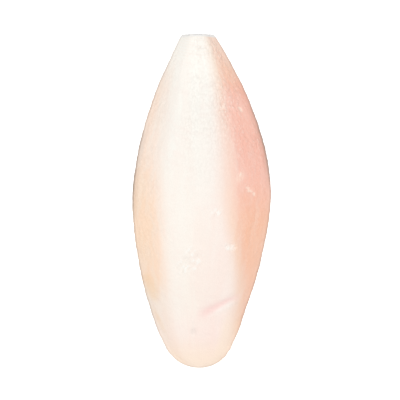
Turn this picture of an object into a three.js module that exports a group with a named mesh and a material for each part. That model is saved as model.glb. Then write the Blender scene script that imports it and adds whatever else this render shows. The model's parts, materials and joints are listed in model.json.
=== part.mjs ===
// A cuttlebone: the light, chalky inner shell of a cuttlefish, grown as one piece.
// It lies on its belly with the domed back up. +Y points to the blunt hind end, where the spine
// has been trimmed off, and -Y to the rounded front end. Millimetres, +Z up.
import * as THREE from 'three';
import { LoftGeometry } from 'three/addons/geometries/LoftGeometry.js';

// Driving dimensions
const LENGTH = 150;
const WIDTH = 61.8;
const HEIGHT = 22;

const HALF_LENGTH = LENGTH / 2;
const HALF_WIDTH = WIDTH / 2;

// Outline seen from above, from the trimmed hind end to the front:
// [share of the half length, share of the half width]. A round arc closes the front.
const OUTLINE = [
  [0.987, 0.255],
  [0.903, 0.366],
  [0.783, 0.508],
  [0.723, 0.582],
  [0.603, 0.7],
  [0.423, 0.846],
  [0.243, 0.948],
  [0.013, 1],
  [-0.236, 0.935],
  [-0.476, 0.814],
  [-0.716, 0.632],
  [-0.8, 0.556],
];
const FRONT_RADIUS = 16;
const FRONT_ARC_START = 0.625 * Math.PI; // where the outline runs into the arc
const FRONT_ARC_END = 0.965 * Math.PI; // the last section, just short of the tip
const TRIM_BEVEL = 0.6; // the trimmed end's edge is worn back by this much

// Curves along the bone. Sway of the midline to the right: [share of the half length, millimetres].
const SWAY = [[1, -1.7], [0.8, -0.85], [0.27, 0.2], [-0.13, -0.3], [-0.67, -1.6], [-1, -1.1]];
// Heights of the margin and of the back's ridge: [share of the half length, share of the height].
const RIM = [[1, 0.42], [0.4, 0.545], [0, 0.575], [-0.53, 0.5], [-1, 0.37]];
const CROWN = [[1, 0.63], [0.6, 0.87], [0.13, 0.995], [-0.33, 0.945], [-0.73, 0.71], [-1, 0.405]];

// The back: a broad middle rib, which widens towards the front, between two sloping flanks.
const RIB_HIND = 0.44; // half width of the rib, as a share of the half width of the bone
const RIB_FRONT = 0.64;
const RIB_CROWN = 0.24; // share of the dome's height that the rib itself rounds off
const SHOULDER = 0.075; // softness of the rib's shoulder, as a share of the half width

// A growth check: a shallow crease that slants back across the right front of the back.
const CREASE_FROM = -1; // its two ends, to the right of the midline
const CREASE_TO = 19;
const CREASE_Y = -50; // where it starts
const CREASE_RISE = 7.6; // how far it runs back from one end to the other
const CREASE_WIDTH = 1.5; // measured along the bone
const CREASE_DEPTH = 0.45;

// The shield's thin margin stands out round the chalky body as a flange.
const EDGE = 1;
const FLANGE_HIND = 3.6;
const FLANGE_FRONT = 1.4;
const FLANGE_SHARE = 0.16; // the flange is never wider than this share of the half width
const FLANGE_TAPER = 0.25; // thickness gained for each millimetre in from the edge

// The chalky body below: steep sides and a belly worn flat where it rests.
const SIDE_ROUNDNESS = 0.72;
const BELLY_ROUNDNESS = 0.78;
const REST_HIND = 20; // the belly rises towards both ends beyond these two places
const REST_FRONT = -30;
const HIND_RISE = 5.6;
const FRONT_RISE = 7;
const RISE_POWER = 1.6;
const WORN = 0.07; // how far the belly's curve would pass the flat, as a share of its depth
const WORN_FADE = 3; // the flat is gone where the belly has risen this far

// Growth ledges behind the smooth last chamber, and a groove that fades before the trimmed end.
const ARC = 0.0236; // a growth arc rises by this times the square of the distance from the midline
const LEDGE_PITCH = 6;
const LEDGE_DEPTH = 0.5;
const LEDGE_FADE = 3; // ledges reach full depth this far above the flat
const LEDGE_FRONT = -22;
const GROOVE_DEPTH = 2.2;
const GROOVE_SHARE = 0.36; // half width of the groove, as a share of the body's half width
const GROOVE_FRONT = 18;

// Facets
const SECTIONS = 76;
const BACK_FACETS = 38;
const BACK_CROWDING = 0.3; // 0 spaces the back's facets evenly, 1 crowds them to the margins
const MARGIN_FACETS = 2;
const BODY_FACETS = 18;
const HALVINGS = 40; // steps of the search for a place on a curve

const BONE_COLOUR = 0xf7e3d3;
const BONE_ROUGHNESS = 0.75;

const { clamp, lerp, mapLinear, smoothstep } = THREE.MathUtils;

// A smooth curve through [share of the half length, value] points, as a function of y.
function alongBone(points) {
  const places = points.map(([share, value]) => new THREE.Vector2(share * HALF_LENGTH, value));
  const curve = new THREE.SplineCurve(places);
  return (y) => {
    let hind = 0;
    let front = 1;
    for (let i = 0; i < HALVINGS; i += 1) {
      const middle = (hind + front) / 2;
      if (curve.getPoint(middle).x > y) hind = middle;
      else front = middle;
    }
    return curve.getPoint(hind).y;
  };
}

const swayAt = alongBone(SWAY);
const rimAt = alongBone(RIM);
const crownAt = alongBone(CROWN);

function bellyAt(y) {
  const hindward = Math.max(0, (y - REST_HIND) / (HALF_LENGTH - REST_HIND));
  const frontward = Math.max(0, (REST_FRONT - y) / (REST_FRONT + HALF_LENGTH));
  return HIND_RISE * hindward ** RISE_POWER + FRONT_RISE * frontward ** RISE_POWER;
}

function flangeAt(y, halfWidth) {
  const width = mapLinear(y, HALF_LENGTH, -HALF_LENGTH, FLANGE_HIND, FLANGE_FRONT);
  return Math.min(width, FLANGE_SHARE * halfWidth);
}

// A rounded ramp: flat below zero, then a slope of one, with a soft bend of the given size.
function ramp(distance, softness) {
  return softness * Math.log1p(Math.exp(distance / softness));
}

// Height of the back at a distance x from the midline of a section.
function backHeight(section, x) {
  const across = Math.min(1, Math.abs(x) / section.halfWidth);
  const rib = mapLinear(section.y, HALF_LENGTH, -HALF_LENGTH, RIB_HIND, RIB_FRONT);
  const flank = ramp(across - rib, SHOULDER) / ramp(1 - rib, SHOULDER);
  const dome = 1 - RIB_CROWN * across * across - (1 - RIB_CROWN) * flank;
  return lerp(section.rim, section.crown, dome) - creaseDepth(section, x);
}

function creaseDepth(section, x) {
  const along = (x - CREASE_FROM) / (CREASE_TO - CREASE_FROM);
  if (along <= 0 || along >= 1) return 0;
  const middle = CREASE_Y + CREASE_RISE * smoothstep(along, 0, 1);
  const off = (section.y - middle) / CREASE_WIDTH;
  return CREASE_DEPTH * Math.exp(-off * off) * Math.sin(Math.PI * along);
}

// How far the ledges and the hind groove cut up into the belly.
// Depth is 0 at the flange and 1 at the bottom of the belly.
function bellyCut(section, x, z, depth) {
  const place = section.y - ARC * x * x; // where the growth arc through this point crosses the midline
  const wave = 0.5 + 0.5 * Math.cos((2 * Math.PI * place) / LEDGE_PITCH);
  const ledged = smoothstep(place, LEDGE_FRONT, LEDGE_FRONT + LEDGE_PITCH) * smoothstep(z, 0, LEDGE_FADE);
  const hindward = clamp(mapLinear(section.y, GROOVE_FRONT, HALF_LENGTH, 0, 1), 0, 1);
  const reach = Math.sin(Math.PI * hindward) ** 2;
  const groove = reach * Math.exp(-((x / (GROOVE_SHARE * section.bodyHalfWidth)) ** 2));
  return LEDGE_DEPTH * wave * ledged * depth + GROOVE_DEPTH * groove;
}

// One cross section as a ring of points: over the back from right to left, then below to the right.
function ring(y, halfWidth) {
  const flange = flangeAt(y, halfWidth);
  const section = {
    y,
    halfWidth,
    bodyHalfWidth: halfWidth - flange,
    rim: rimAt(y) * HEIGHT,
    crown: crownAt(y) * HEIGHT,
    belly: bellyAt(y),
  };
  const points = [];
  const add = (x, z) => points.push(new THREE.Vector3(swayAt(y) + x, y, z));

  for (let i = 0; i <= BACK_FACETS; i += 1) {
    const even = 1 - (2 * i) / BACK_FACETS;
    const x = halfWidth * lerp(even, Math.sin((Math.PI / 2) * even), BACK_CROWDING);
    add(x, backHeight(section, x));
  }

  const root = backHeight(section, section.bodyHalfWidth) - EDGE - FLANGE_TAPER * flange;
  const underside = (inward) => lerp(section.rim - EDGE, root, Math.sin((inward * Math.PI) / 2));
  for (let i = 0; i < MARGIN_FACETS; i += 1) {
    const inward = i / MARGIN_FACETS;
    add(-halfWidth + flange * inward, underside(inward));
  }

  const worn = 1 + WORN * (1 - smoothstep(section.belly, 0, WORN_FADE));
  for (let i = 0; i <= BODY_FACETS; i += 1) {
    const angle = (Math.PI * i) / BODY_FACETS;
    const side = -Math.cos(angle);
    const x = section.bodyHalfWidth * Math.sign(side) * Math.abs(side) ** SIDE_ROUNDNESS;
    const depth = Math.min(1, worn * Math.sin(angle) ** BELLY_ROUNDNESS);
    const z = lerp(root, section.belly, depth);
    add(x, z + bellyCut(section, x, z, depth));
  }

  for (let i = MARGIN_FACETS - 1; i >= 0; i -= 1) {
    const inward = i / MARGIN_FACETS;
    add(halfWidth - flange * inward, underside(inward));
  }
  return points;
}

// The trimmed face: the first ring drawn in by the bevel, in the plane of the hind end.
function trimmedFace(firstRing) {
  const middle = new THREE.Vector3();
  for (const point of firstRing) middle.addScaledVector(point, 1 / firstRing.length);
  return firstRing.map((point) => {
    const inset = 1 - TRIM_BEVEL / point.distanceTo(middle);
    const drawnIn = middle.clone().lerp(point, inset);
    return drawnIn.setY(HALF_LENGTH);
  });
}

// The outline as a path, with y along it and the half width across it.
function outlinePath() {
  const bends = OUTLINE.map(
    ([along, across]) => new THREE.Vector2(along * HALF_LENGTH, across * HALF_WIDTH),
  );
  const arcMiddle = new THREE.Vector2(FRONT_RADIUS - HALF_LENGTH, 0);
  const arcStart = new THREE.Vector2(FRONT_RADIUS, 0).rotateAround(new THREE.Vector2(), FRONT_ARC_START);
  const path = new THREE.Path().moveTo(bends[0].x, bends[0].y);
  path.splineThru([...bends.slice(1), arcStart.add(arcMiddle)]);
  path.absarc(arcMiddle.x, arcMiddle.y, FRONT_RADIUS, FRONT_ARC_START, FRONT_ARC_END);
  return path;
}

const rings = outlinePath()
  .getSpacedPoints(SECTIONS)
  .map((place) => ring(place.x, place.y));
rings.unshift(trimmedFace(rings[0]));

const bone = new THREE.Mesh(
  new LoftGeometry(rings, { capStart: true, capEnd: true }),
  new THREE.MeshStandardMaterial({ color: BONE_COLOUR, roughness: BONE_ROUGHNESS, metalness: 0 }),
);
bone.name = 'cuttlebone';

const part = new THREE.Group();
part.add(bone);

export default part;
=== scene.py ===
import json
import math

import bpy
import numpy as np
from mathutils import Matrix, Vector, bvhtree, kdtree, noise

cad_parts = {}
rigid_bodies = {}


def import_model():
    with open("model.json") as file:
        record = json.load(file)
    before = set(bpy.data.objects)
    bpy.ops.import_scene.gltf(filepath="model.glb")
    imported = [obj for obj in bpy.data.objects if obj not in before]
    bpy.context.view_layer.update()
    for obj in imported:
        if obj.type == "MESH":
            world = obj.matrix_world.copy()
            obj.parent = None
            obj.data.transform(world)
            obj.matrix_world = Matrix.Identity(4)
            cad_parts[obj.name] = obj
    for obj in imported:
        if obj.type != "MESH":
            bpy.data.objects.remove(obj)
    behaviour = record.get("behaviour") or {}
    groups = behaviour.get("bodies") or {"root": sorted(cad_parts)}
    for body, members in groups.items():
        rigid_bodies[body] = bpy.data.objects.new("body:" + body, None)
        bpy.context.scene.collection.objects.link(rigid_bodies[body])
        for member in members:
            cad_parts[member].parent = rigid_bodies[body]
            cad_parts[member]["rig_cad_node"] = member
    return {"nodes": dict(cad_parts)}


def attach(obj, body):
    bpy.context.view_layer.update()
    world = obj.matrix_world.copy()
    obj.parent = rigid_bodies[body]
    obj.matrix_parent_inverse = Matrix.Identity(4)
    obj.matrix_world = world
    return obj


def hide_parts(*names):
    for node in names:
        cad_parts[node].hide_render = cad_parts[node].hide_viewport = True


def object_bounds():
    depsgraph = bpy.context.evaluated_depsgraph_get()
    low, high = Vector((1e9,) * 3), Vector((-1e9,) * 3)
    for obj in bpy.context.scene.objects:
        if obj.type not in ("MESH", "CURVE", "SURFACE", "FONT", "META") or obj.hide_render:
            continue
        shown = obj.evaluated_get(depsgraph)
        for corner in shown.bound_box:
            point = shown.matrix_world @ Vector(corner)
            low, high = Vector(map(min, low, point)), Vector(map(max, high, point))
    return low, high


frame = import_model()
cad_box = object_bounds()

# The bone's form
# A cuttlebone grew as one piece: a thin hard shield over a body of chalk laid down in layers.
# It is a merged copy of the solid whose facets are smoothed to a fine skin. Its trimmed end and its
# front tip are divided anew, so that the skin is as even there as elsewhere.
MILLIMETRE = 0.001
MERGE_DISTANCE = 0.001 * MILLIMETRE
SECTION_DECIMALS = 1
SECTION_DEPTH = 0.1
TIP_SECTION = -71.7
TIP_ROWS = 2
TIP_INSET = 0.1
TIP_MERGE = 0.02
SKIN_LEVELS = 2
OUTLINE_STEP = 0.2
UP = Vector((0, 0, 1))

bpy.ops.object.select_all(action="DESELECT")
solid = frame["nodes"]["cuttlebone"]
solid.select_set(True)
bpy.context.view_layer.objects.active = solid
bpy.ops.object.duplicate()
bone = bpy.context.object
bone.name = "bone"
del bone["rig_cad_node"]
bone.data.materials.clear()

bpy.context.tool_settings.mesh_select_mode = (False, False, True)
bpy.ops.object.mode_set(mode="EDIT")
bpy.ops.mesh.select_all(action="SELECT")
bpy.ops.mesh.customdata_custom_splitnormals_clear()
bpy.ops.mesh.remove_doubles(threshold=MERGE_DISTANCE)
bpy.ops.mesh.tris_convert_to_quads()
bpy.ops.mesh.select_all(action="DESELECT")
bpy.ops.object.mode_set(mode="OBJECT")


def places_of(piece):
    """The places of a piece's vertices, in millimetres, one row for each vertex."""
    places = np.empty(len(piece.data.vertices) * 3)
    piece.data.vertices.foreach_get("co", places)
    return places.reshape(-1, 3) / MILLIMETRE


# Both edges of the outline seen from above, section by section, from the solid's own rings.
ring_x, ring_y = places_of(bone)[:, :2].T
section_y = np.unique(np.round(ring_y, SECTION_DECIMALS))
sections = [ring_x[abs(ring_y - place_y) < SECTION_DEPTH] for place_y in section_y]
left_edge = np.array([section.min() for section in sections])
right_edge = np.array([section.max() for section in sections])

# The trimmed end becomes one face, and then triangles that can't fold over each other.
for face in bone.data.polygons:
    corner_y = [bone.data.vertices[i].co.y for i in face.vertices]
    face.select = min(corner_y) > cad_box[1][1] - MERGE_DISTANCE
bpy.ops.object.mode_set(mode="EDIT")
bpy.ops.mesh.dissolve_faces()
bpy.ops.mesh.quads_convert_to_tris(ngon_method="BEAUTY")
bpy.ops.mesh.select_all(action="DESELECT")
bpy.ops.object.mode_set(mode="OBJECT")

# The solid's last sections crowd together at the tip. They give way to rows that run forwards from
# the last wide section to the outline, at the heights of the solid's own back and belly.
solid_corners = [vertex.co.copy() for vertex in bone.data.vertices]
solid_faces = [list(face.vertices) for face in bone.data.polygons]
shape = bvhtree.BVHTree.FromPolygons(solid_corners, solid_faces)
tip_section = section_y[abs(section_y - TIP_SECTION).argmin()]
in_front = section_y <= tip_section
front_x = np.concatenate([left_edge[in_front][::-1], right_edge[in_front]])
front_y = np.concatenate([section_y[in_front][::-1], section_y[in_front]])


def skin_heights(at_x, at_y):
    """The heights of the solid's belly and back, in metres, at a place just inside its outline."""
    inside_x = np.clip(at_x, front_x[0] + TIP_INSET, front_x[-1] - TIP_INSET)
    inside = Vector((inside_x * MILLIMETRE, (at_y + TIP_INSET) * MILLIMETRE, 0))
    belly_hit = shape.ray_cast(inside - UP, UP)
    back_hit = shape.ray_cast(inside + UP, -UP)
    return belly_hit[0].z, back_hit[0].z


bpy.context.tool_settings.mesh_select_mode = (True, False, False)
for vertex in bone.data.vertices:
    vertex.select = bool(vertex.co.y < (tip_section - SECTION_DEPTH) * MILLIMETRE)
bpy.ops.object.mode_set(mode="EDIT")
bpy.ops.mesh.delete(type="VERT")
bpy.ops.mesh.select_non_manifold()
for rows_left in range(TIP_ROWS, 0, -1):
    bpy.ops.mesh.extrude_region()
    bpy.ops.object.mode_set(mode="OBJECT")
    for vertex in bone.data.vertices:
        at_x, at_y = vertex.co.xy / MILLIMETRE
        reach = at_y - np.interp(at_x, front_x, front_y)
        if vertex.select and reach > TIP_INSET:
            on_back = vertex.co.z > sum(skin_heights(at_x, at_y)) / 2
            row_y = at_y - reach / rows_left
            vertex.co.y = row_y * MILLIMETRE
            vertex.co.z = skin_heights(at_x, row_y)[int(on_back)]
    bpy.ops.object.mode_set(mode="EDIT")
bpy.ops.mesh.edge_face_add()
bpy.ops.mesh.quads_convert_to_tris(ngon_method="BEAUTY")
bpy.ops.mesh.select_all(action="SELECT")
bpy.ops.mesh.remove_doubles(threshold=TIP_MERGE * MILLIMETRE)
bpy.ops.mesh.normals_make_consistent(inside=False)
bpy.ops.object.mode_set(mode="OBJECT")

bpy.ops.object.modifier_add(type="SUBSURF")
skin = bone.modifiers[-1]
skin.levels = SKIN_LEVELS
skin.render_levels = SKIN_LEVELS
bpy.ops.object.modifier_apply(modifier=skin.name)
bpy.ops.object.shade_smooth()

# Where each vertex is on the bone: its share of the way from the midline to the margin, left
# of the midline below zero, and its distance from the outline in millimetres.
places = places_of(bone)
x, y = places[:, :2].T
normals = np.empty(len(places) * 3)
bone.data.vertex_normals.foreach_get("vector", normals)
normals = normals.reshape(-1, 3)
facing_hind, facing_up = normals[:, 1:].T

outline_right = np.interp(y, section_y, right_edge)
midline = (np.interp(y, section_y, left_edge) + outline_right) / 2
aside = x - midline
across = aside / (outline_right - midline)

loop_x = np.concatenate([right_edge, left_edge[::-1], right_edge[:1]])
loop_y = np.concatenate([section_y, section_y[::-1], section_y[:1]])
loop_steps = np.hypot(np.diff(loop_x, prepend=loop_x[0]), np.diff(loop_y, prepend=loop_y[0]))
loop_run = np.cumsum(loop_steps)
stations = np.arange(0, loop_run[-1], OUTLINE_STEP)
outline = kdtree.KDTree(len(stations))
for i, run in enumerate(stations):
    outline.insert((np.interp(run, loop_run, loop_x), np.interp(run, loop_run, loop_y), 0), i)
outline.balance()
from_edge = np.array([outline.find((place[0], place[1], 0))[2] for place in places])

# The back
# The shield is a hard, slightly waxy crust, uneven to the touch. Small granules stand on its hind
# half, most of all along the right shoulder, and faint ridges mark the growth arcs across it.

# A pair of numbers is where a change starts and where it is complete: along the bone in millimetres,
# from -75 at the front to 75 at the hind end, across it in shares of the half width, from -1 at the
# left to 1 at the right, or in from the edge in millimetres.
FACING = (0.1, 0.4)  # the upward part of a normal
FAINTEST = 0.001
UNEVEN_SIZE = 13
UNEVEN_HEIGHT = 0.5
TIP_EDGE_ALONG = (-66, -70)
TIP_EDGE_WIDTH = (1.5, 0.3)
GRANULE_SIZE = 1.3
GRANULE_STRETCH = 1.7
GRANULE_TURN = math.radians(-38)
GRANULE_HEIGHT = 1.1
GRANULE_PATCHES = {"size": 8, "seed": 3}
PATCH_MIDDLE = 0.7
PATCH_CONTRAST = 0.6
PATCH_LEAST = 0.2
RIB_GRANULES = 0.55
RIB_GRANULES_ALONG = (-10, 40)
RIB_GRANULES_ACROSS = (-0.5, -0.15)
RIGHT_GRANULES_FRONT = 0.3
RIGHT_FRONT_ALONG = (-45, -15)
RIGHT_GRANULES_HIND = 0.5
RIGHT_HIND_ALONG = (0, 35)
RIGHT_GRANULES_ACROSS = (0.3, 0.6)
LEFT_GRANULES = 0.3
LEFT_GRANULES_ALONG = (-45, -10)
LEFT_GRANULES_OUTWARD = (0.45, 0.75)
SHOULDER_ACROSS = 0.42
SHOULDER_WIDTH = 0.16
SHOULDER_Y = 42
SHOULDER_LENGTH = 14
BARE_EDGE = (0.3, 2)
ARC = 0.0236  # a growth arc bends hindwards by this times the square of the distance from the midline
ARC_PITCH = 4.2
ARC_WAVER = 1.6
ARC_WANDERING = {"size": 16, "seed": 5}
ARC_PATCHES = {"size": 9, "seed": 8}
ARC_HEIGHT = 0.07


def ease(value, start, end):
    """A smooth step from 0 at start to 1 at end."""
    share = np.clip((value - start) / (end - start), 0, 1)
    return share * share * (3 - 2 * share)


def bell(distance, width):
    """1 at no distance, falling off smoothly on both sides."""
    return np.exp(-((distance / width) ** 2))


def ripple(place, pitch):
    """Even waves from 0 to 1."""
    return 0.5 + 0.5 * np.cos(2 * math.pi * place / pitch)


def waver(size, seed):
    """Smooth noise over the bone, from about -1 to 1, with lumps of the given size in millimetres."""
    offset = Vector((seed, seed, seed))
    return np.array([noise.noise(Vector(place) / size + offset) for place in places])


def keep_mark(name, amount):
    """Keeps an amount for each vertex as an attribute that the materials read."""
    mark = bone.data.attributes.new(name, "FLOAT", "POINT")
    mark.data.foreach_set("value", amount.astype(np.float32))


def new_texture(name, kind, size):
    """A texture for a relief, with lumps of the given size in millimetres."""
    texture = bpy.data.textures.new(name, kind)
    texture.noise_scale = size * MILLIMETRE
    return texture


def emboss(name, amount, height, texture=None, grain_axes=None):
    """Raises the skin along its normals by height, in millimetres, times the amount and the texture.

    Gives back how far each vertex was raised."""
    before = places_of(bone)
    group = bone.vertex_groups.new(name=name)
    for index in np.flatnonzero(amount > FAINTEST):
        group.add([int(index)], float(amount[index]), "REPLACE")
    bpy.ops.object.modifier_add(type="DISPLACE")
    relief = bone.modifiers[-1]
    relief.vertex_group = group.name
    relief.strength = height * MILLIMETRE
    relief.mid_level = 0
    if texture:
        relief.texture = texture
        relief.mid_level = 0.5
        relief.texture_coords = "OBJECT" if grain_axes else "LOCAL"
        relief.texture_coords_object = grain_axes
    bpy.ops.object.modifier_apply(modifier=relief.name)
    bone.vertex_groups.clear()
    return ((places_of(bone) - before) * normals).sum(axis=1)


keep_mark("across", across)
keep_mark("from_edge", from_edge)
back = ease(facing_up, *FACING)

# The unevenness stays off the thin edge of the tip, where it would fold the skin.
lumps = new_texture("uneven_crust", "CLOUDS", UNEVEN_SIZE)
tip_edge = ease(y, *TIP_EDGE_ALONG) * ease(from_edge, *TIP_EDGE_WIDTH)
emboss("uneven_crust", back * (1 - tip_edge), UNEVEN_HEIGHT, lumps)

granules = new_texture("granules", "VORONOI", GRANULE_SIZE)
bpy.ops.object.empty_add(rotation=(0, 0, GRANULE_TURN))
grain_axes = bpy.context.object
grain_axes.scale = (1, GRANULE_STRETCH, 1)
bpy.context.view_layer.objects.active = bone
patchy = np.clip(PATCH_MIDDLE + PATCH_CONTRAST * waver(**GRANULE_PATCHES), PATCH_LEAST, 1)
on_rib = RIB_GRANULES * ease(y, *RIB_GRANULES_ALONG) * ease(across, *RIB_GRANULES_ACROSS)
on_right = RIGHT_GRANULES_FRONT * ease(y, *RIGHT_FRONT_ALONG)
on_right += RIGHT_GRANULES_HIND * ease(y, *RIGHT_HIND_ALONG)
on_right *= ease(across, *RIGHT_GRANULES_ACROSS)
on_left = LEFT_GRANULES * ease(y, *LEFT_GRANULES_ALONG) * ease(-across, *LEFT_GRANULES_OUTWARD)
shoulder = bell(across - SHOULDER_ACROSS, SHOULDER_WIDTH) * bell(y - SHOULDER_Y, SHOULDER_LENGTH)
granulated = np.maximum(patchy * np.maximum.reduce([on_rib, on_right, on_left]), shoulder)
granulated *= back * ease(from_edge, *BARE_EDGE)
raised = emboss("granules", granulated, -GRANULE_HEIGHT, granules, grain_axes)
keep_mark("granule", raised)
keep_mark("granulated", granulated)

growth = y - ARC * aside**2
arc_ridges = ripple(growth + ARC_WAVER * waver(**ARC_WANDERING), ARC_PITCH) ** 2
arc_strength = 0.5 + 0.5 * waver(**ARC_PATCHES)
emboss("growth_arcs", arc_ridges * back * arc_strength, ARC_HEIGHT)

# Wear on the back
# The front flank has a growth check: a crease with a raised lip in front of it. Flakes have come
# off the crust in a few places and left it scuffed white, and one small pit is painted grey, as
# shade in its hollow.

# The crease's and the lip's pairs are millimetres aside from the midline.
CREASE_Y = -50
CREASE_RISE = 7.6
CREASE_RUN = (-1, 19)
CREASE_WIDTH = 2.3
CREASE_TAPER = 1.2
CREASE_NARROWING = (4, 15)
CREASE_START = (-2, 5)
CREASE_END = (21, 12)
CREASE_DEPTH = 0.2
LIP_AHEAD = 2.3
LIP_WIDTH = 1.3
LIP_START = (3, 9)
LIP_END = (19, 13)
LIP_HEIGHT = 0.2
# Flakes and scuffs: x, y, half length, half width, turn in degrees and strength. The pairs for
# their edges are shares of the way from an oval's middle to its outline.
FLAKES = (
    (20.5, 6.0, 1.0, 0.55, -10, 1.0),
    (21.5, 4.5, 1.3, 0.55, -10, 1.0),
    (23.2, 3.4, 0.9, 0.55, -60, 1.0),
    (17.2, 41.2, 1.6, 0.7, -50, 1.0),
    (12.7, -20.2, 2.7, 1.4, -5, 0.6),
)
FLAKE_EDGE = (1.2, 0.7)
FLAKE_DEPTH = 0.3
RAGGED_EDGE = {"size": 1.5, "seed": 13}
RAGGEDNESS = 0.35
SCUFFS = (
    (17.0, 10.8, 3.2, 1.9, 60, 1.0),
    (-5.4, -26.4, 9.0, 6.8, 55, 1.0),
    (6.6, -4.9, 4.0, 3.2, 0, 1.0),
    (12.4, -20.0, 3.4, 2.4, -5, 1.0),
    (8.7, 41.0, 3.2, 1.5, 60, 1.0),
)
SCUFF_EDGE = (1.2, 0.2)
SCUFF_SIZE = 1.2
SCUFF_HEIGHT = 1.1
PIT_X = -3.7
PIT_Y = -58.0
PIT_EDGE = (2.4, 0.48)  # millimetres from its middle
PIT_DEPTH = 0.3


def within(value, rise, fall):
    """1 between two smooth steps, a rise and a fall, and 0 outside them."""
    return ease(value, *rise) * ease(value, *fall)


def oval(middle_x, middle_y, half_length, half_width, turn):
    """How far each vertex is from the middle of an oval on the back: 1 is on the oval."""
    cosine = math.cos(math.radians(turn))
    sine = math.sin(math.radians(turn))
    lengthwise = (x - middle_x) * cosine + (y - middle_y) * sine
    sideways = (y - middle_y) * cosine - (x - middle_x) * sine
    return np.hypot(lengthwise / half_length, sideways / half_width)


def cover(patches, edge, ragged=0):
    """How much of the strongest oval patch there is at each vertex."""
    amounts = [strength * ease(oval(*patch) + ragged, *edge) for *patch, strength in patches]
    return np.maximum.reduce(amounts)


off_crease = y - CREASE_Y - CREASE_RISE * ease(aside, *CREASE_RUN)
crease_width = CREASE_WIDTH - CREASE_TAPER * ease(aside, *CREASE_NARROWING)
crease = bell(off_crease, crease_width) * within(aside, CREASE_START, CREASE_END) * back
emboss("crease", crease, -CREASE_DEPTH)
lip = bell(off_crease + LIP_AHEAD, LIP_WIDTH) * within(aside, LIP_START, LIP_END) * back
emboss("crease_lip", lip, LIP_HEIGHT)
keep_mark("crease", crease)
keep_mark("lip", lip)

flaked = cover(FLAKES, FLAKE_EDGE, RAGGEDNESS * waver(**RAGGED_EDGE)) * back
emboss("flakes", flaked, -FLAKE_DEPTH)
keep_mark("flaked", flaked)

scuffed = cover(SCUFFS, SCUFF_EDGE) * back
scrapes = new_texture("scuffs", "CLOUDS", SCUFF_SIZE)
raised = emboss("scuffs", scuffed, SCUFF_HEIGHT, scrapes, grain_axes)
keep_mark("scuff", raised / SCUFF_HEIGHT)
keep_mark("scuffed", scuffed)
bpy.data.objects.remove(grain_axes)

pit = ease(np.hypot(x - PIT_X, y - PIT_Y), *PIT_EDGE) * back
emboss("pit", pit, -PIT_DEPTH)
keep_mark("pit", pit)

# The margin
# The shield's edge is a thin horny rim, nicked and worn by handling. It is brown along both sides
# where the bone is widest, partly the horn's own colour and partly painted shade where the edge turns
# away, and amber stains have soaked into the crust beside it on the left.
MARGIN_EDGE = (1.6, 0.3)
MARGIN_SWELL = 0.2
NICK_SIZE = 2.6
NICK_DEPTH = 0.5
NICKS_FRONT = (-74, -70)
NICKS_HIND = (72, 66)
BROWN_OUTWARD = (0, 0.5)
BROWN_RIGHT_FRONT = (0, 18)
BROWN_RIGHT_HIND = (56, 28)
BROWN_LEFT_FRONT = (-14, 4)
BROWN_LEFT_HIND = (40, 24)
AMBER_STAINS = (
    # x, y, half length, half width, turn in degrees and strength
    (-27.5, 6.0, 15, 4.5, 82, 0.2),
    (-22.6, -38.2, 8, 3.2, 112, 0.6),
    (-18.8, -53.5, 9, 1.5, 117, 0.3),
    (-26.0, -20.0, 12, 3, 102, 0.15),
    (-19.2, 59.0, 6, 2, 60, 0.35),
)
STAIN_EDGE = (1.2, 0.1)

margin = ease(from_edge, *MARGIN_EDGE)
emboss("margin_swell", margin, MARGIN_SWELL)
nicks = new_texture("margin_nicks", "CLOUDS", NICK_SIZE)
emboss("margin_nicks", margin * within(y, NICKS_FRONT, NICKS_HIND), NICK_DEPTH, nicks)

brown_right = ease(across, *BROWN_OUTWARD) * within(y, BROWN_RIGHT_FRONT, BROWN_RIGHT_HIND)
brown_left = ease(-across, *BROWN_OUTWARD) * within(y, BROWN_LEFT_FRONT, BROWN_LEFT_HIND)
keep_mark("brown", np.maximum(brown_right, brown_left))
keep_mark("amber", cover(AMBER_STAINS, STAIN_EDGE))

# The shield's finish
# Crust over horn: chalk white on the middle rib, peach on the left flank and pink on the right,
# where the crust is thinner. The horn shows brown at the bare rim, deepened by painted shade at the edge.
# The hind white is partly the crust's own colour and partly painted light; it also paints highlights on
# granule tips.
HIND_WHITE_AND_HIGHLIGHT = (1.0, 0.98, 0.92, 1)
RIB_HIND = (0.90, 0.88, 0.82, 1)
RIB_FRONT = (0.91, 0.84, 0.765, 1)
FRONT_END = (0.95, 0.82, 0.75, 1)
FRONT_EDGE = (0.95, 0.78, 0.63, 1)
LEFT_PINK = (0.95, 0.77, 0.66, 1)
LEFT_FLANK = (0.965, 0.72, 0.54, 1)
RIGHT_FLANK = (0.94, 0.525, 0.42, 1)
APRICOT = (0.92, 0.535, 0.33, 1)
FLAKE_PEACH = (0.98, 0.76, 0.63, 1)
DEEP_CORAL = (0.80, 0.34, 0.25, 1)
AMBER = (0.88, 0.58, 0.30, 1)
CHALK = (0.93, 0.91, 0.86, 1)
# A pink that the blush and the growth arcs have, also used as painted shade in the crease.
PINK_AND_CREASE_SHADE = (0.90, 0.65, 0.61, 1)
# Painted shade in the pit.
PIT_SHADE_GREY = (0.50, 0.45, 0.42, 1)
# The bare horn's brown, also used as painted shade: at the rim, on the pink flank and in gaps.
HORN_BROWN_AND_SHADE = (0.33, 0.24, 0.19, 1)
# Painted shade at the trimmed end.
CUT_EDGE_SHADE = (0.84, 0.82, 0.79, 1)
VECTOR = "NodeSocketVector"
NUMBER = "NodeSocketFloat"


def add_node(tree, kind, inputs=(), **settings):
    """Adds a node with its settings, and fills its inputs with values or with other nodes' outputs."""
    made = tree.nodes.new(kind)
    for name, value in settings.items():
        setattr(made, name, value)
    for key, value in dict(inputs).items():
        if isinstance(value, bpy.types.NodeSocket):
            tree.links.new(value, made.inputs[key])
        else:
            made.inputs[key].default_value = value
    return made


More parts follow.
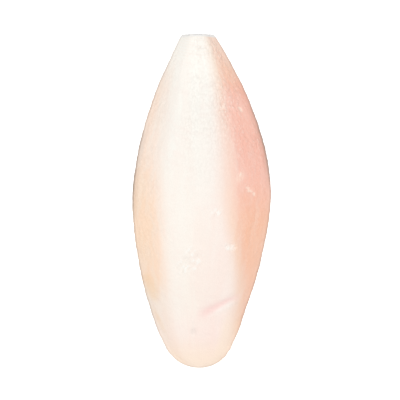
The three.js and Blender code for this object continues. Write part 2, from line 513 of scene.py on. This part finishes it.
def calculate(tree, operation, *values):
    """The result of a Math node."""
    return add_node(tree, "ShaderNodeMath", dict(enumerate(values)), operation=operation).outputs[0]


def multiply(tree, product, *factors):
    """The product of several values."""
    for factor in factors:
        product = calculate(tree, "MULTIPLY", product, factor)
    return product


def ease_node(tree, value, start, end, low=0, high=1):
    """The result of a smooth step from low at start to high at end."""
    inputs = {"Value": value, "From Min": start, "From Max": end, "To Min": low, "To Max": high}
    made = add_node(tree, "ShaderNodeMapRange", inputs, interpolation_type="SMOOTHSTEP")
    return made.outputs["Result"]


def sum_of_steps(tree, value, first, second):
    """The sum of two smooth steps of one value."""
    return calculate(tree, "ADD", ease_node(tree, value, *first), ease_node(tree, value, *second))


def blend(tree, amount, first, second):
    """The colour that goes from the first to the second as the amount goes from 0 to 1.

    A Mix node's sockets for colours share their names with others, so they go by number."""
    made = add_node(tree, "ShaderNodeMix", {0: amount, 6: first, 7: second}, data_type="RGBA")
    return made.outputs[2]


def mark_value(tree, name):
    """The amount that keep_mark kept under that name."""
    made = add_node(tree, "ShaderNodeAttribute", attribute_type="GEOMETRY", attribute_name=name)
    return made.outputs["Fac"]


def place_in_millimetres(tree):
    """The place on the bone, in millimetres."""
    place = add_node(tree, "ShaderNodeTexCoord").outputs["Object"]
    scale = {0: place, "Scale": 1 / MILLIMETRE}
    return add_node(tree, "ShaderNodeVectorMath", scale, operation="SCALE").outputs["Vector"]


def axes_of(tree, place):
    """The X, Y and Z of a place."""
    return add_node(tree, "ShaderNodeSeparateXYZ", {0: place}).outputs


def new_group(name, result, **inputs):
    """A shader node group with the named inputs and one result, and the sockets of its inputs."""
    group = bpy.data.node_groups.new(name, "ShaderNodeTree")
    for label, kind in inputs.items():
        group.interface.new_socket(label, in_out="INPUT", socket_type=kind)
    group.interface.new_socket(result, in_out="OUTPUT", socket_type=NUMBER)
    return group, add_node(group, "NodeGroupInput").outputs


def use_group(tree, group, **inputs):
    """The result of a node group placed in a material."""
    return add_node(tree, "ShaderNodeGroup", inputs, node_tree=group).outputs[0]


def new_material(name):
    """A new material, its node tree and its Principled shader."""
    material = bpy.data.materials.new(name)
    material.use_nodes = True
    return material, material.node_tree, material.node_tree.nodes["Principled BSDF"]


def finish_material(tree, shader, colour, roughness, height, bump, depth):
    """Links a shader's colour and roughness, and a bump of the given strength and depth in millimetres."""
    relief = {"Strength": bump, "Distance": depth * MILLIMETRE, "Height": height}
    tree.links.new(colour, shader.inputs["Base Color"])
    tree.links.new(roughness, shader.inputs["Roughness"])
    tree.links.new(add_node(tree, "ShaderNodeBump", relief).outputs[0], shader.inputs["Normal"])


# Grain, which all of the bone's surfaces share: soft specks of the given size in millimetres.
GRAIN_DETAIL = 3.0
GRAIN_ROUGHNESS = 0.65
GRAIN_CONTRAST = (0.25, 0.75)
grain_group, inside = new_group("chalk grain", "Grain", Place=VECTOR, Size=NUMBER)
speckling = {
    "Vector": inside["Place"],
    "Scale": calculate(grain_group, "DIVIDE", 1.0, inside["Size"]),
    "Detail": GRAIN_DETAIL,
    "Roughness": GRAIN_ROUGHNESS,
}
specks = add_node(grain_group, "ShaderNodeTexNoise", speckling).outputs[0]
add_node(grain_group, "NodeGroupOutput", {"Grain": ease_node(grain_group, specks, *GRAIN_CONTRAST)})

# Growth lines, across the back and under the belly: bands along the growth arcs that waver.
WANDER_SCALE = 0.08
lines_group, inside = new_group("growth lines", "Lines", Place=VECTOR, Pitch=NUMBER, Waver=NUMBER)
wandering = {"Vector": inside["Place"], "Scale": WANDER_SCALE}
wander = add_node(lines_group, "ShaderNodeTexNoise", wandering).outputs[0]
axes = axes_of(lines_group, inside["Place"])
bend = multiply(lines_group, calculate(lines_group, "POWER", axes["X"], 2.0), ARC)
line_place = calculate(lines_group, "SUBTRACT", axes["Y"], bend)
line_place = calculate(lines_group, "MULTIPLY_ADD", wander, inside["Waver"], line_place)
turns = calculate(lines_group, "DIVIDE", line_place, inside["Pitch"])
wave = calculate(lines_group, "COSINE", multiply(lines_group, turns, 2 * math.pi))
lines = calculate(lines_group, "MULTIPLY_ADD", wave, 0.5, 0.5)
add_node(lines_group, "NodeGroupOutput", {"Lines": lines})

# Painted shade at the trimmed end, greying the last of the back and of the belly, with a ragged edge.
CUT_SHADE_RAGGEDNESS = 0.5
CUT_SHADE_ALONG = (73.6, 74.4)
cut_shade_group, inside = new_group("cut edge shade", "Shade", Place=VECTOR, Grain=NUMBER)
along = axes_of(cut_shade_group, inside["Place"])["Y"]
ragged_along = calculate(cut_shade_group, "MULTIPLY_ADD", inside["Grain"], CUT_SHADE_RAGGEDNESS, along)
add_node(cut_shade_group, "NodeGroupOutput", {"Shade": ease_node(cut_shade_group, ragged_along, *CUT_SHADE_ALONG)})

# The crust's patterns. Streaks and bands run lengthwise: they are grain that changes slowly along
# the bone.
CRUST_GRAIN = 0.8
CRUST_BLOTCHES = 9.0
ARC_LINE_WAVER = 6.0
HIND_LINE_PITCH = 1.4
HIND_LINE_WAVER = 2.0
STREAK_WANDER = 0.08
STREAK_SLOWNESS = 0.004
STREAK_SIZE = 0.07
BAND_SIZE = 0.3
shield, tree, shader = new_material("shield crust")
place = place_in_millimetres(tree)
along = axes_of(tree, place)["Y"]
side = mark_value(tree, "across")
edge = mark_value(tree, "from_edge")
grain = use_group(tree, grain_group, Place=place, Size=CRUST_GRAIN)
blotches = use_group(tree, grain_group, Place=place, Size=CRUST_BLOTCHES)
arcs = use_group(tree, lines_group, Place=place, Pitch=ARC_PITCH, Waver=ARC_LINE_WAVER)
cross_lines = use_group(tree, lines_group, Place=place, Pitch=HIND_LINE_PITCH, Waver=HIND_LINE_WAVER)
wandering_side = calculate(tree, "MULTIPLY_ADD", blotches, STREAK_WANDER, side)
slow_along = multiply(tree, along, STREAK_SLOWNESS)
lengthwise = add_node(tree, "ShaderNodeCombineXYZ", {"X": wandering_side, "Y": slow_along}).outputs[0]
streaks = use_group(tree, grain_group, Place=lengthwise, Size=STREAK_SIZE)
bands = use_group(tree, grain_group, Place=lengthwise, Size=BAND_SIZE)

# Peach on the left flank: it fades at the hind end, where the crust is thick, and at the front.
# From here on, a row of four numbers is where a change starts and where it is complete, and what
# it amounts to at the two. Patterns and marks go from 0 to 1.
LEFT_START = (40.0, -5.0, -0.45, -0.38)
LEFT_END = (35.0, -10.0, -1.0, -0.7)
LEFT_HIND = (70.0, 46.0)
LEFT_FRONT = (-32.0, -45.0, 1.0, 0.25)
LEFT_STREAKS = (0.0, 1.0, 0.74, 1.1)
left_start = ease_node(tree, along, *LEFT_START)
left_end = ease_node(tree, along, *LEFT_END)
left_amount = multiply(
    tree,
    ease_node(tree, side, left_start, left_end),
    ease_node(tree, along, *LEFT_HIND),
    ease_node(tree, along, *LEFT_FRONT),
    ease_node(tree, streaks, *LEFT_STREAKS),
)

# Pink on the right flank: its edge runs out to the margin towards the front.
RIGHT_MIDDLE = (5.0, -70.0, 0.4, 0.965)
RIGHT_MIDDLE_HIND = (35.0, 58.0, 0.0, 0.05)
RIGHT_SPREAD = (15.0, -20.0, 0.29, 0.2)
RIGHT_SPREAD_FRONT = (-25.0, -42.0, 0.0, 0.05)
RIGHT_HIND = (80.0, 46.0, 0.5, 1.0)
RIGHT_FRONT = (-54.0, -66.0, 1.0, 0.35)
RIGHT_STREAKS = (0.0, 1.0, 0.88, 1.05)
right_middle = sum_of_steps(tree, along, RIGHT_MIDDLE, RIGHT_MIDDLE_HIND)
right_spread = sum_of_steps(tree, along, RIGHT_SPREAD, RIGHT_SPREAD_FRONT)
right_start = calculate(tree, "SUBTRACT", right_middle, right_spread)
right_end = calculate(tree, "ADD", right_middle, right_spread)
right_reach = ease_node(tree, side, right_start, right_end)
right_amount = multiply(
    tree,
    right_reach,
    ease_node(tree, along, *RIGHT_HIND),
    ease_node(tree, along, *RIGHT_FRONT),
    ease_node(tree, streaks, *RIGHT_STREAKS),
)

# The rib goes from white at the hind end to a warm front edge, with a blush to the right.
RIB_ALONG = (40.0, -45.0)
HIND_LIGHTENING_ALONG = (38.0, 66.0, 0.0, 0.6)
FRONT_END_ALONG = (-42.0, -66.0)
RIB_BANDS = (0.2, 0.9, 0.0, 0.08)
BLUSH_ACROSS = (-0.3, 0.5)
BLUSH_ALONG = (58.0, 20.0, 0.0, 0.26)
FRONT_EDGE_ALONG = (-58.0, -72.0, 0.0, 0.8)
FRONT_RIGHT_ACROSS = (0.45, 0.7)
FRONT_RIGHT_ALONG = (-42.0, -58.0, 0.0, 0.65)
colour = blend(tree, ease_node(tree, along, *RIB_ALONG), RIB_HIND, RIB_FRONT)
# Painted light: the hind end is whitened, partly its own colour and partly to make up for the shade its
# granules cast.
colour = blend(tree, ease_node(tree, along, *HIND_LIGHTENING_ALONG), colour, HIND_WHITE_AND_HIGHLIGHT)
colour = blend(tree, ease_node(tree, along, *FRONT_END_ALONG), colour, FRONT_END)
colour = blend(tree, ease_node(tree, bands, *RIB_BANDS), colour, RIGHT_FLANK)
blush_across = ease_node(tree, side, *BLUSH_ACROSS)
blush = multiply(tree, blush_across, ease_node(tree, along, *BLUSH_ALONG))
colour = blend(tree, blush, colour, PINK_AND_CREASE_SHADE)
colour = blend(tree, ease_node(tree, along, *FRONT_EDGE_ALONG), colour, FRONT_EDGE)
front_right_across = ease_node(tree, side, *FRONT_RIGHT_ACROSS)
front_right = multiply(tree, front_right_across, ease_node(tree, along, *FRONT_RIGHT_ALONG))
colour = blend(tree, front_right, colour, FRONT_EDGE)

# The peach is more orange near the left margin. The pink is more apricot at both ends and along its
# inner edge, with paler bands and a little shade, and deep coral beside the right margin.
ORANGE_ACROSS = (-0.45, -0.8)
ORANGE_ALONG = (22.0, -8.0, 0.25, 1.0)
APRICOT_FRONT = (15.0, -15.0, 0.0, 0.6)
APRICOT_HIND = (45.0, 60.0, 0.0, 0.6)
APRICOT_INNER = 0.5
INNER_BAND = (0.9, 0.4)
PINK_BANDS = (0.4, 0.85, 0.0, 0.14)
INNER_SHADE = (1.0, 0.8, 0.03, 0.065)
SHADE_ALONG = (42.0, 22.0)
CORAL_EDGE = (3.0, 0.8)
CORAL_FRONT = (10.0, 22.0)
CORAL_HIND = (62.0, 50.0)
CORAL_ACROSS = (0.0, 0.5, 0.0, 0.3)
orange_across = ease_node(tree, side, *ORANGE_ACROSS)
orange = multiply(tree, orange_across, ease_node(tree, along, *ORANGE_ALONG))
peach = blend(tree, orange, LEFT_PINK, LEFT_FLANK)
colour = blend(tree, left_amount, colour, peach)
apricot = sum_of_steps(tree, along, APRICOT_FRONT, APRICOT_HIND)
inner_band = ease_node(tree, right_reach, *INNER_BAND)
apricot = calculate(tree, "MULTIPLY_ADD", inner_band, APRICOT_INNER, apricot)
pink = blend(tree, apricot, RIGHT_FLANK, APRICOT)
pink = blend(tree, ease_node(tree, bands, *PINK_BANDS), pink, FLAKE_PEACH)
inner_shade = ease_node(tree, right_reach, *INNER_SHADE)
flank_shade = multiply(tree, inner_shade, ease_node(tree, along, *SHADE_ALONG))
pink = blend(tree, flank_shade, pink, HORN_BROWN_AND_SHADE)
colour = blend(tree, right_amount, colour, pink)
coral_edge = multiply(
    tree,
    ease_node(tree, edge, *CORAL_EDGE),
    ease_node(tree, along, *CORAL_FRONT),
    ease_node(tree, along, *CORAL_HIND),
    ease_node(tree, side, *CORAL_ACROSS),
)
colour = blend(tree, coral_edge, colour, DEEP_CORAL)

# Amber stains, and granules with painted highlights on their tips and painted shade in their gaps,
# by how many millimetres they are raised. The pebbles are granules too fine to raise, slanted like
# the raised ones: 0 at the tip of each one.
AMBER_BLOTCHES = (0.1, 0.9, 0.5, 1.0)
PEBBLE_SIZE = 0.85
PEBBLE_SMOOTHNESS = 0.4
PEBBLE_HIGHLIGHTS = (0.4, 0.1, 0.0, 0.38)
PEBBLE_SHADE = (0.4, 0.75, 0.0, 0.16)
GRANULE_HIGHLIGHTS = (0.02, 0.4, 0.0, 0.2)
GRANULE_SHADE = (-0.02, -0.4, 0.0, 0.06)
stained = multiply(tree, mark_value(tree, "amber"), ease_node(tree, blotches, *AMBER_BLOTCHES))
colour = blend(tree, stained, colour, AMBER)
slant = {"Vector": place, "Rotation": (0, 0, -GRANULE_TURN), "Scale": (1, 1 / GRANULE_STRETCH, 1)}
slanted = add_node(tree, "ShaderNodeMapping", slant, vector_type="POINT").outputs[0]
cells = {"Vector": slanted, "Scale": 1 / PEBBLE_SIZE, "Smoothness": PEBBLE_SMOOTHNESS}
pebbles = add_node(tree, "ShaderNodeTexVoronoi", cells, feature="SMOOTH_F1").outputs["Distance"]
granulated_amount = mark_value(tree, "granulated")
pebble_highlight = multiply(tree, ease_node(tree, pebbles, *PEBBLE_HIGHLIGHTS), granulated_amount)
pebble_shade_amount = multiply(tree, ease_node(tree, pebbles, *PEBBLE_SHADE), granulated_amount)
# Painted shade for the gaps between granules and pebbles: brown on the rib, coral on the pink flank.
gap_shade = blend(tree, right_amount, HORN_BROWN_AND_SHADE, DEEP_CORAL)
colour = blend(tree, pebble_highlight, colour, HIND_WHITE_AND_HIGHLIGHT)
colour = blend(tree, pebble_shade_amount, colour, gap_shade)
granule = mark_value(tree, "granule")
colour = blend(tree, ease_node(tree, granule, *GRANULE_HIGHLIGHTS), colour, HIND_WHITE_AND_HIGHLIGHT)
colour = blend(tree, ease_node(tree, granule, *GRANULE_SHADE), colour, gap_shade)

# Growth lines and the marks of wear. Scuffs have pale tips, partly scraped chalk and partly painted
# highlight, and painted shade in their gaps, by the share of their height that is raised.
ARC_BLOTCHES = (0.3, 0.9, 0.0, 0.08)
HIND_LINES_ALONG = (58.0, 68.0, 0.0, 0.12)
CREASE_SHADE = 0.85
LIP_HIGHLIGHT = 0.3
SCUFF_TIPS = (0.0, 0.18, 0.0, 0.8)
SCUFF_SHADE = (-0.02, -0.2, 0.0, 0.05)
THIN_CRUST = (0.2, 0.8, 0.3, 0.8)
FLAKE_TINT = 0.75
PIT_SHADE = 0.16
faint_arcs = multiply(tree, arcs, ease_node(tree, blotches, *ARC_BLOTCHES))
colour = blend(tree, faint_arcs, colour, PINK_AND_CREASE_SHADE)
hind_lines = multiply(tree, cross_lines, ease_node(tree, along, *HIND_LINES_ALONG))
colour = blend(tree, hind_lines, colour, FRONT_EDGE)
# Painted shade in the crease, and a painted highlight on the lip in front of it.
colour = blend(tree, multiply(tree, mark_value(tree, "crease"), CREASE_SHADE), colour, PINK_AND_CREASE_SHADE)
colour = blend(tree, multiply(tree, mark_value(tree, "lip"), LIP_HIGHLIGHT), colour, CHALK)
scrape = mark_value(tree, "scuff")
bared_and_highlit = blend(tree, right_amount, CHALK, FLAKE_PEACH)
scuff_amount = ease_node(tree, scrape, *SCUFF_TIPS)
thin_crust = ease_node(tree, grain, *THIN_CRUST)
thin_crust = multiply(tree, mark_value(tree, "scuffed"), right_amount, thin_crust)
colour = blend(tree, thin_crust, colour, FLAKE_PEACH)
# The scuffs' raised tips: scraped pale chalk, partly a painted highlight.
colour = blend(tree, scuff_amount, colour, bared_and_highlit)
# Painted shade in the scuffs' gaps.
colour = blend(tree, ease_node(tree, scrape, *SCUFF_SHADE), colour, HORN_BROWN_AND_SHADE)
colour = blend(tree, multiply(tree, mark_value(tree, "flaked"), FLAKE_TINT), colour, bared_and_highlit)
# Painted shade in the pit's hollow.
colour = blend(tree, multiply(tree, mark_value(tree, "pit"), PIT_SHADE), colour, PIT_SHADE_GREY)

# The rim, where the horn is bare and painted shade darkens the edge, and painted shade at the trimmed end.
RIM_BROWN = (0.0, 1.0, 0.42, 0.78)
RIM_STREAKS = (0.1, 0.9, 0.7, 1.0)
RIM_FRONT = (-48.0, -64.0, 1.0, 0.35)
RIM_HIND = (60.0, 71.0, 1.0, 0.6)
RIM_LINE = (1.1, 0.2, 0.0, 0.8)
RIM_FRINGE = (3.0, 0.6, 0.0, 0.2)
WIDE_RIM = (3.2, 0.6, 0.0, 0.13)
brown = mark_value(tree, "brown")
horn_and_edge_shade = multiply(
    tree,
    ease_node(tree, brown, *RIM_BROWN),
    ease_node(tree, streaks, *RIM_STREAKS),
    ease_node(tree, along, *RIM_FRONT),
    ease_node(tree, along, *RIM_HIND),
)
# Painted shade darkens the edge together with the horn's brown.
narrow_rim = multiply(tree, sum_of_steps(tree, edge, RIM_LINE, RIM_FRINGE), horn_and_edge_shade)
wide_rim = multiply(tree, brown, ease_node(tree, edge, *WIDE_RIM))
colour = blend(tree, calculate(tree, "ADD", narrow_rim, wide_rim), colour, HORN_BROWN_AND_SHADE)
# Painted shade along the trimmed end.
cut_shade = use_group(tree, cut_shade_group, Place=place, Grain=grain)
colour = blend(tree, cut_shade, colour, CUT_EDGE_SHADE)

# The crust is duller where it is scuffed, and its finest relief is a bump.
CRUST_ROUGHNESS = (0.0, 1.0, 0.48, 0.66)
PEBBLE_RELIEF = -4.0
LINE_RELIEF = 4.0
STREAK_RELIEF = (-72.0, -45.0, 0.0, 0.4)
CRUST_BUMP = 0.5
CRUST_BUMP_DEPTH = 0.15
roughness = calculate(tree, "MAXIMUM", ease_node(tree, grain, *CRUST_ROUGHNESS), scuff_amount)
hollows = multiply(tree, pebbles, granulated_amount)
height = calculate(tree, "MULTIPLY_ADD", hollows, PEBBLE_RELIEF, grain)
height = calculate(tree, "MULTIPLY_ADD", faint_arcs, LINE_RELIEF, height)
height = calculate(tree, "MULTIPLY_ADD", hind_lines, LINE_RELIEF, height)
low_streaks = multiply(tree, streaks, ease_node(tree, along, *STREAK_RELIEF))
height = calculate(tree, "ADD", low_streaks, height)
finish_material(tree, shader, colour, roughness, height, CRUST_BUMP, CRUST_BUMP_DEPTH)

# The belly
# Below, the bone is soft white chalk. Behind the smooth last chamber the edges of the older layers
# show as fine striae along the growth arcs, and two low limbs of the inner cone run to the hind end.
STRIA_PITCH = 1.5
STRIA_WAVER = 1.2
STRIA_WANDERING = {"size": 11, "seed": 21}
STRIA_DEPTH = 0.16
LAST_CHAMBER_END = (-24, -20)
CONE_HIND = 0.5
CONE_FRONT = 0.78
CONE_SPREAD = (74, 30)
CONE_WIDTH = 0.06
CONE_START = (28, 52)
CONE_END = (72, 64)
CONE_HEIGHT = 0.7
LAYER_CREAM = (0.88, 0.83, 0.74, 1)
FLANGE_HORN = (0.86, 0.68, 0.50, 1)
BELLY_GRAIN = 0.5
BELLY_BLOTCHES = 7.0
STRIA_LINE_WAVER = 3.0
BLOTCH_TINT = 0.3
FLANGE_EDGE = (4.0, 1.0, 0.0, 0.85)
BELLY_ROUGHNESS = (0.0, 1.0, 0.75, 0.95)
BELLY_BUMP = 0.5
BELLY_BUMP_DEPTH = 0.12

belly = ease(-facing_up, *FACING)
striae_place = growth + STRIA_WAVER * waver(**STRIA_WANDERING)
older_layers = ease(striae_place, *LAST_CHAMBER_END)
emboss("striae", ripple(striae_place, STRIA_PITCH) * older_layers * belly, -STRIA_DEPTH)
cone_across = CONE_HIND + (CONE_FRONT - CONE_HIND) * ease(y, *CONE_SPREAD)
cone = bell(abs(across) - cone_across, CONE_WIDTH) * within(y, CONE_START, CONE_END) * belly
emboss("inner_cone", cone, CONE_HEIGHT)
keep_mark("older_layers", older_layers)

chalk, tree, shader = new_material("belly chalk")
place = place_in_millimetres(tree)
edge = mark_value(tree, "from_edge")
grain = use_group(tree, grain_group, Place=place, Size=BELLY_GRAIN)
blotches = use_group(tree, grain_group, Place=place, Size=BELLY_BLOTCHES)
layers = use_group(tree, lines_group, Place=place, Pitch=STRIA_PITCH, Waver=STRIA_LINE_WAVER)
layers = multiply(tree, layers, mark_value(tree, "older_layers"))
colour = blend(tree, layers, CHALK, LAYER_CREAM)
colour = blend(tree, multiply(tree, blotches, BLOTCH_TINT), colour, LAYER_CREAM)
colour = blend(tree, ease_node(tree, edge, *FLANGE_EDGE), colour, FLANGE_HORN)
# Painted shade along the trimmed end.
cut_shade = use_group(tree, cut_shade_group, Place=place, Grain=grain)
colour = blend(tree, cut_shade, colour, CUT_EDGE_SHADE)
roughness = ease_node(tree, grain, *BELLY_ROUGHNESS)
finish_material(tree, shader, colour, roughness, grain, BELLY_BUMP, BELLY_BUMP_DEPTH)

# The trimmed end
# The spine was cut off square, which shows the layers of the chalk edge on, greyed by painted shade at the
# cut.
# They are too fine to model, so the material alone shows them.
LAYER_PITCH = 0.7
LAYER_WAVER = 1.2
LAYER_WANDERING = 6.0
CUT_GRAIN = 0.6
CUT_WHITE = (0.86, 0.85, 0.83, 1)
CUT_SHADE_GREY = (0.64, 0.63, 0.62, 1)
CUT_SHADE_AMOUNT = 0.4
CUT_ROUGHNESS = (0.0, 1.0, 0.8, 0.95)
CUT_BUMP = 0.6
CUT_BUMP_DEPTH = 0.12

cut, tree, shader = new_material("trimmed chalk")
place = place_in_millimetres(tree)
grain = use_group(tree, grain_group, Place=place, Size=CUT_GRAIN)
wander = use_group(tree, grain_group, Place=place, Size=LAYER_WANDERING)
layer_place = calculate(tree, "MULTIPLY_ADD", wander, LAYER_WAVER, axes_of(tree, place)["Z"])
turns = multiply(tree, layer_place, 2 * math.pi / LAYER_PITCH)
layer_edges = calculate(tree, "MULTIPLY_ADD", calculate(tree, "SINE", turns), 0.5, 0.5)
cut_shading = multiply(tree, calculate(tree, "ADD", layer_edges, grain), CUT_SHADE_AMOUNT)
# Painted shade: the cut face greys along its layers.
colour = blend(tree, cut_shading, CUT_WHITE, CUT_SHADE_GREY)
roughness = ease_node(tree, grain, *CUT_ROUGHNESS)
relief = calculate(tree, "SUBTRACT", grain, layer_edges)
finish_material(tree, shader, colour, roughness, relief, CUT_BUMP, CUT_BUMP_DEPTH)

# Each face goes to the surface it belongs to. The shield's crust reaches round the rim, a little
# way under it.
CUT_FACING = 0.6
CUT_FROM = 74.2
SHIELD_FACING = 0.3
RIM_FACING = -0.5
RIM_WIDTH = 0.6
SHIELD, BELLY, CUT = range(3)
for material in (shield, chalk, cut):
    bone.data.materials.append(material)
for face in bone.data.polygons:
    corners = list(face.vertices)
    upward = facing_up[corners].mean()
    on_rim = upward > RIM_FACING and from_edge[corners].max() < RIM_WIDTH
    if facing_hind[corners].mean() > CUT_FACING and y[corners].mean() > CUT_FROM:
        face.material_index = CUT
    elif upward > SHIELD_FACING or on_rim:
        face.material_index = SHIELD
    else:
        face.material_index = BELLY

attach(bone, "root")
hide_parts("cuttlebone")

# The floor
# A plain white sheet, wide enough to fill every view. It looks lit from below, so the camera sees
# hardly any shadow on it, while the bone gets only the light that a white sheet throws back.
FLOOR_SIDE = 16
FLOOR_WHITE = (0.8, 0.8, 0.8, 1)
FLOOR_ROUGHNESS = 0.9
FLOOR_GLOW = 0.75

bpy.ops.mesh.primitive_plane_add(size=FLOOR_SIDE)
floor = bpy.context.object
floor.name = "floor"
sheet, tree, shader = new_material("white sheet")
shader.inputs["Base Color"].default_value = FLOOR_WHITE
shader.inputs["Roughness"].default_value = FLOOR_ROUGHNESS
shader.inputs["Emission Strength"].default_value = FLOOR_GLOW
seen = add_node(tree, "ShaderNodeLightPath").outputs["Is Camera Ray"]
tree.links.new(seen, shader.inputs["Emission Color"])
floor.data.materials.append(sheet)

# Light
# An even white surround, with a large soft lamp high to the upper left of the bone and a weaker
# one to the lower right.
SURROUND_WHITE = (1, 1, 1, 1)
SURROUND = 0.625
BACKDROP = 1.0
LAMP_SIDE = 0.45
LAMPS = (
    # place and power
    (Vector((-0.3, 0.2, 0.95)), 3.85),
    (Vector((0.62, -0.42, 0.72)), 2.1),
)

world = bpy.data.worlds.new("surround")
world.use_nodes = True
sky = world.node_tree.nodes["Background"]
sky.inputs["Color"].default_value = SURROUND_WHITE
seen = add_node(world.node_tree, "ShaderNodeLightPath").outputs["Is Camera Ray"]
brightness = calculate(world.node_tree, "MULTIPLY_ADD", seen, BACKDROP - SURROUND, SURROUND)
world.node_tree.links.new(brightness, sky.inputs["Strength"])
bpy.context.scene.world = world

for lamp_place, power in LAMPS:
    bpy.ops.object.light_add(type="AREA", location=lamp_place)
    lamp = bpy.context.object
    lamp.data.size = LAMP_SIDE
    lamp.data.energy = power
    lamp.rotation_mode = "QUATERNION"
    lamp.rotation_quaternion = lamp_place.to_track_quat("Z", "Y")

# Camera
# It looks straight down, with the hind end at the top of the picture. The width of the view is
# measured at the height of the bone's rim.
LENS = 100
SENSOR = 36
VIEW_WIDTH = 0.1792
RIM_HEIGHT = 0.012
VIEW_MIDDLE = (-0.0007, 0.0007)
camera_height = RIM_HEIGHT + VIEW_WIDTH * LENS / SENSOR
bpy.ops.object.camera_add(location=(*VIEW_MIDDLE, camera_height), rotation=(0, 0, 0))
camera = bpy.context.object
camera.data.lens = LENS
camera.data.sensor_width = SENSOR
bpy.context.scene.camera = camera
bpy.context.scene.view_settings.view_transform = "Standard"
